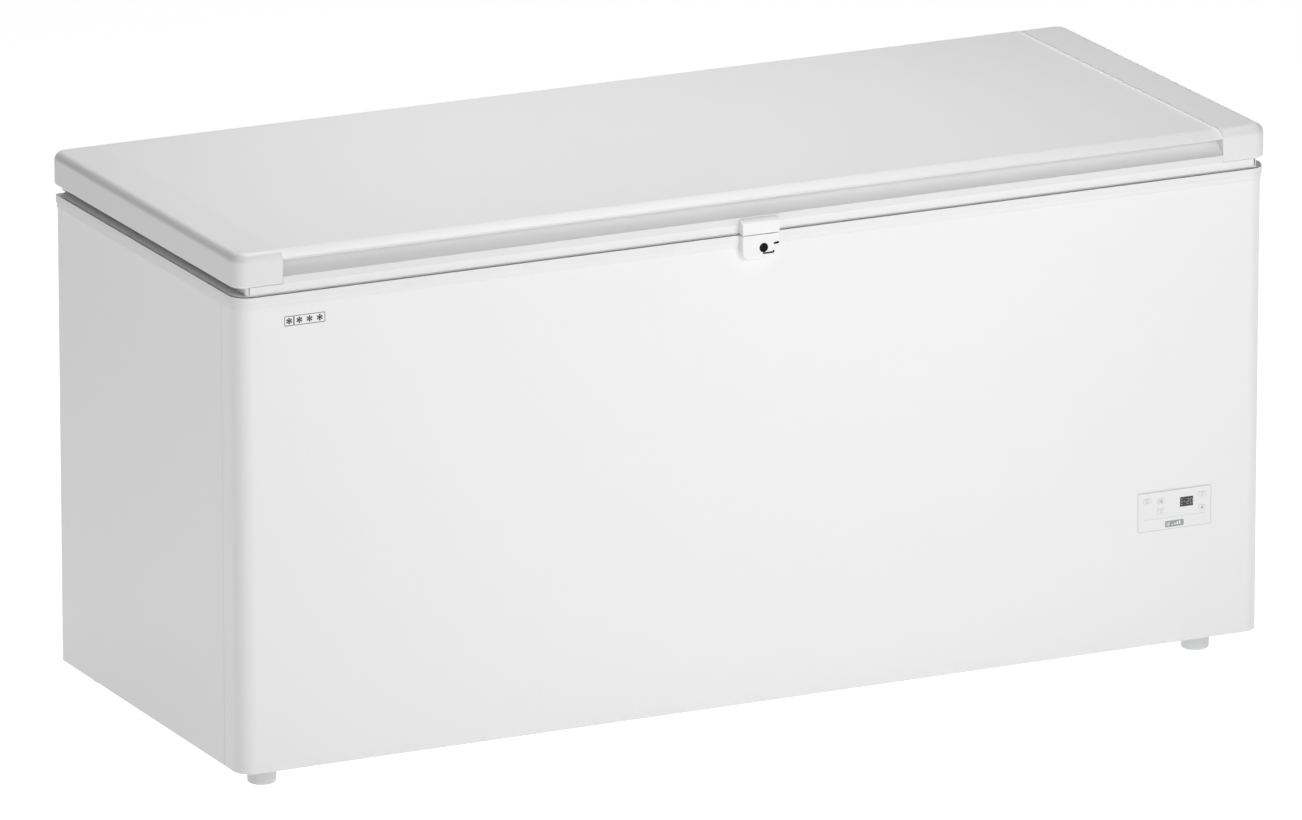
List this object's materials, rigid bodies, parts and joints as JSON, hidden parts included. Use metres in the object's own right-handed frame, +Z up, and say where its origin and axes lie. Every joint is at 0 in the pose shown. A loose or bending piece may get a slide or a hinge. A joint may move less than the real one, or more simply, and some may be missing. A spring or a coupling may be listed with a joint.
{
  "type": "chest freezer",
  "caption": "Long white chest freezer with a hinged solid lid, full-width grip, front lock, small control panel, sliding baskets and a rear machine bay.",
  "frame": {"origin": "middle of the object's footprint box, on the floor", "axes": "+X along the width to the right, -Y towards the front (the lock side), +Z up"},
  "size_m": [1.714, 0.687, 0.825],
  "materials": {
    "white_paint": "gloss",
    "white_plastic": "satin",
    "bare_liner": "satin",
    "galvanised": "satin",
    "foam": "matte",
    "tube_copper": "satin",
    "black_enamel": "satin",
    "black_plastic": "satin",
    "grey_plastic": "satin",
    "rubber_black": "matte",
    "rubber_grey": "matte",
    "zinc": "satin",
    "spring_steel": "satin",
    "board_green": "satin",
    "dark_window": "gloss",
    "basket_wire": "satin"
  },
  "bodies": {
    "cabinet": {"front_panel": "white_paint", "left_side_panel": "white_paint", "right_side_panel": "white_paint", "rear_panel": "white_paint", "side_vent_grille": "grey_plastic", "rear_cover": "galvanised", "rear_cover_screws": "zinc", "power_inlet": "black_plastic", "base_plate": "galvanised", "machine_base": "galvanised", "collar_front": "white_plastic", "collar_rear": "white_plastic", "collar_left": "white_plastic", "collar_right": "white_plastic", "liner_wall": "bare_liner", "liner_floor": "bare_liner", "evaporator_coil": "tube_copper", "condenser_coil": "tube_copper", "insulation_front": "foam", "insulation_rear": "foam", "insulation_left": "foam", "insulation_right": "foam", "insulation_floor": "foam", "insulation_step": "foam", "compressor": "black_enamel", "compressor_grommets": "rubber_black", "compressor_bolts": "zinc", "start_relay": "black_plastic", "filter_drier": "tube_copper", "refrigerant_lines": "tube_copper", "rear_feet": "grey_plastic", "drain_pipe": "grey_plastic", "control_fascia": "white_plastic", "control_housing": "grey_plastic", "control_board": "board_green", "display_window": "dark_window", "lock_housing": "white_plastic", "hinge_bases": "white_paint", "hinge_pins": "zinc", "hinge_springs": "spring_steel"},
    "lid": {"lid_left_cap": "white_plastic", "lid_right_cap": "white_plastic", "lid_front_profile": "white_plastic", "lid_top_panel": "white_paint", "lid_inner_tray": "white_plastic", "lid_insulation": "foam", "lid_gasket": "rubber_grey", "lid_catch": "white_plastic", "lid_hinge_leaves": "white_paint"},
    "lock_barrel": {"lock_cylinder": "black_plastic"},
    "basket_left": {"basket_left": "basket_wire"},
    "basket_right": {"basket_right": "basket_wire"},
    "drain_plug": {"drain_plug": "grey_plastic"},
    "foot_left": {"foot_front_left": "grey_plastic"},
    "foot_right": {"foot_front_right": "grey_plastic"},
    "key_alarm": {"key_alarm": "white_plastic"},
    "key_fast_freeze": {"key_fast_freeze": "white_plastic"},
    "key_set": {"key_set": "white_plastic"},
    "key_power": {"key_power": "white_plastic"},
    "key_child_lock": {"key_child_lock": "white_plastic"}
  },
  "joints": [
    {"name": "lid_hinge", "type": "hinge", "parent": "cabinet", "child": "lid", "pos_m": [0, 0.336, 0.7545], "axis": [-1, 0, 0], "range_deg": [0, 80]},
    {"name": "lock_turn", "type": "hinge", "parent": "cabinet", "child": "lock_barrel", "pos_m": [0, -0.3435, 0.7388], "axis": [0, -1, 0], "range_deg": [0, 90]},
    {"name": "basket_left_slide", "type": "slide", "parent": "cabinet", "child": "basket_left", "axis": [1, 0, 0], "range_m": [0, 0.48]},
    {"name": "basket_right_slide", "type": "slide", "parent": "cabinet", "child": "basket_right", "axis": [-1, 0, 0], "range_m": [0, 0.48]},
    {"name": "drain_plug_pull", "type": "slide", "parent": "cabinet", "child": "drain_plug", "axis": [0, 0, 1], "range_m": [0, 0.12]},
    {"name": "foot_left_turn", "type": "hinge", "parent": "cabinet", "child": "foot_left", "pos_m": [-0.8, -0.2855, 0], "axis": [0, 0, 1], "continuous": true},
    {"name": "foot_right_turn", "type": "hinge", "parent": "cabinet", "child": "foot_right", "pos_m": [0.764, -0.2855, 0], "axis": [0, 0, 1], "continuous": true},
    {"name": "key_alarm_press", "type": "slide", "parent": "cabinet", "child": "key_alarm", "axis": [0, 1, 0], "range_m": [0, 0.0008], "stiffness_N_per_m": 600},
    {"name": "key_fast_freeze_press", "type": "slide", "parent": "cabinet", "child": "key_fast_freeze", "axis": [0, 1, 0], "range_m": [0, 0.0008], "stiffness_N_per_m": 600},
    {"name": "key_set_press", "type": "slide", "parent": "cabinet", "child": "key_set", "axis": [0, 1, 0], "range_m": [0, 0.0008], "stiffness_N_per_m": 600},
    {"name": "key_power_press", "type": "slide", "parent": "cabinet", "child": "key_power", "axis": [0, 1, 0], "range_m": [0, 0.0008], "stiffness_N_per_m": 600},
    {"name": "key_child_lock_press", "type": "slide", "parent": "cabinet", "child": "key_child_lock", "axis": [0, 1, 0], "range_m": [0, 0.0008], "stiffness_N_per_m": 600}
  ]
}
